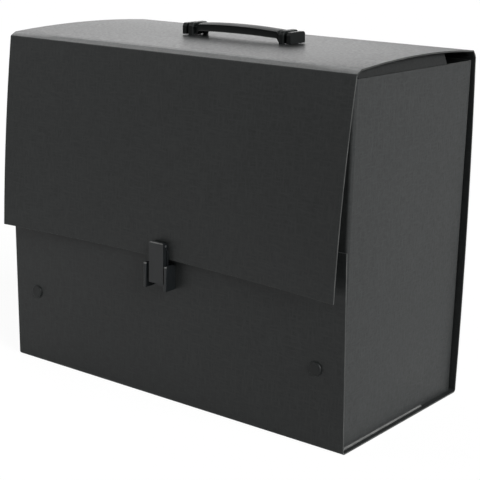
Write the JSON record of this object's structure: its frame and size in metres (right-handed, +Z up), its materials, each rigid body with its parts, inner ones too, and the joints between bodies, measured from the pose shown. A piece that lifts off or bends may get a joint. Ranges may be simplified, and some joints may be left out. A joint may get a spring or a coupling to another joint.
{
  "type": "document case",
  "caption": "Upright case folded from dark plastic sheet, with a hinged lid, a deep front flap, a flip latch, fold-in tabs and a strap handle.",
  "frame": {"origin": "middle of the bottom face that the case stands on", "axes": "+Z up, -Y towards the front with the flap and latch, +X along the case's width"},
  "size_m": [0.368, 0.2062, 0.3159],
  "materials": {
    "outer_sheet": "fine embossed grain, satin",
    "side_sheet": "fine embossed grain, matte",
    "rivet_plastic": "smooth satin",
    "latch_plastic": "moulded, semi-gloss",
    "handle_plastic": "moulded, semi-gloss",
    "steel_pin": "plain drawn steel"
  },
  "bodies": {
    "case": {"wrap_sheet": "outer_sheet", "side_panel_right": "side_sheet", "side_panel_left": "side_sheet", "front_rivet_studs": "rivet_plastic", "front_rivet_caps": "rivet_plastic", "back_rivet_studs": "rivet_plastic", "back_rivet_caps": "rivet_plastic", "catch_body": "latch_plastic", "catch_rivets": "rivet_plastic", "catch_backing_plate": "latch_plastic"},
    "lid": {"lid_panel": "outer_sheet", "handle_loop_right": "handle_plastic", "handle_loop_left": "handle_plastic", "handle_backing_strip": "handle_plastic"},
    "flap": {"flap_panel": "outer_sheet", "latch_base": "latch_plastic", "latch_pin": "steel_pin", "latch_rivets": "rivet_plastic", "latch_backing_plate": "latch_plastic"},
    "latch_lever": {"latch_lever": "latch_plastic"},
    "tab_right": {"top_tab_right": "side_sheet"},
    "tab_left": {"top_tab_left": "side_sheet"},
    "handle_grip": {"handle_grip": "handle_plastic"},
    "strap_end_right": {"handle_strap_end_right": "handle_plastic"},
    "strap_end_left": {"handle_strap_end_left": "handle_plastic"}
  },
  "joints": [
    {"name": "lid_hinge", "type": "hinge", "parent": "case", "child": "lid", "pos_m": [0, 0.0914, 0.2978], "axis": [-1, 0, 0], "range_deg": [0, 200]},
    {"name": "flap_hinge", "type": "hinge", "parent": "lid", "child": "flap", "pos_m": [0, -0.09, 0.3005], "axis": [-1, 0, 0], "range_deg": [0, 210]},
    {"name": "latch_lever_pivot", "type": "hinge", "parent": "flap", "child": "latch_lever", "pos_m": [0, -0.09957, 0.1414], "axis": [-1, 0, 0], "range_deg": [0, 90]},
    {"name": "tab_right_fold", "type": "hinge", "parent": "case", "child": "tab_right", "pos_m": [0.1813, -0.00001, 0.29564], "axis": [0, -0.9999, 0.0107], "range_deg": [0, 145]},
    {"name": "tab_left_fold", "type": "hinge", "parent": "case", "child": "tab_left", "pos_m": [-0.1813, -0.00001, 0.29564], "axis": [0, 0.9999, -0.0107], "range_deg": [0, 145]},
    {"name": "handle_lift", "type": "slide", "parent": "lid", "child": "handle_grip", "axis": [0, 0, 1], "range_m": [0, 0.014]},
    {"name": "strap_end_right_slide", "type": "slide", "parent": "handle_grip", "child": "strap_end_right", "axis": [-0.1894, 0, -0.9819], "range_m": [0, 0.01427]},
    {"name": "strap_end_left_slide", "type": "slide", "parent": "handle_grip", "child": "strap_end_left", "axis": [0.1894, 0, -0.9819], "range_m": [0, 0.01427]}
  ],
  "couplings": [
    {"joint": "strap_end_right_slide", "follows": "handle_lift", "ratio": 1.0184},
    {"joint": "strap_end_left_slide", "follows": "handle_lift", "ratio": 1.0184}
  ]
}
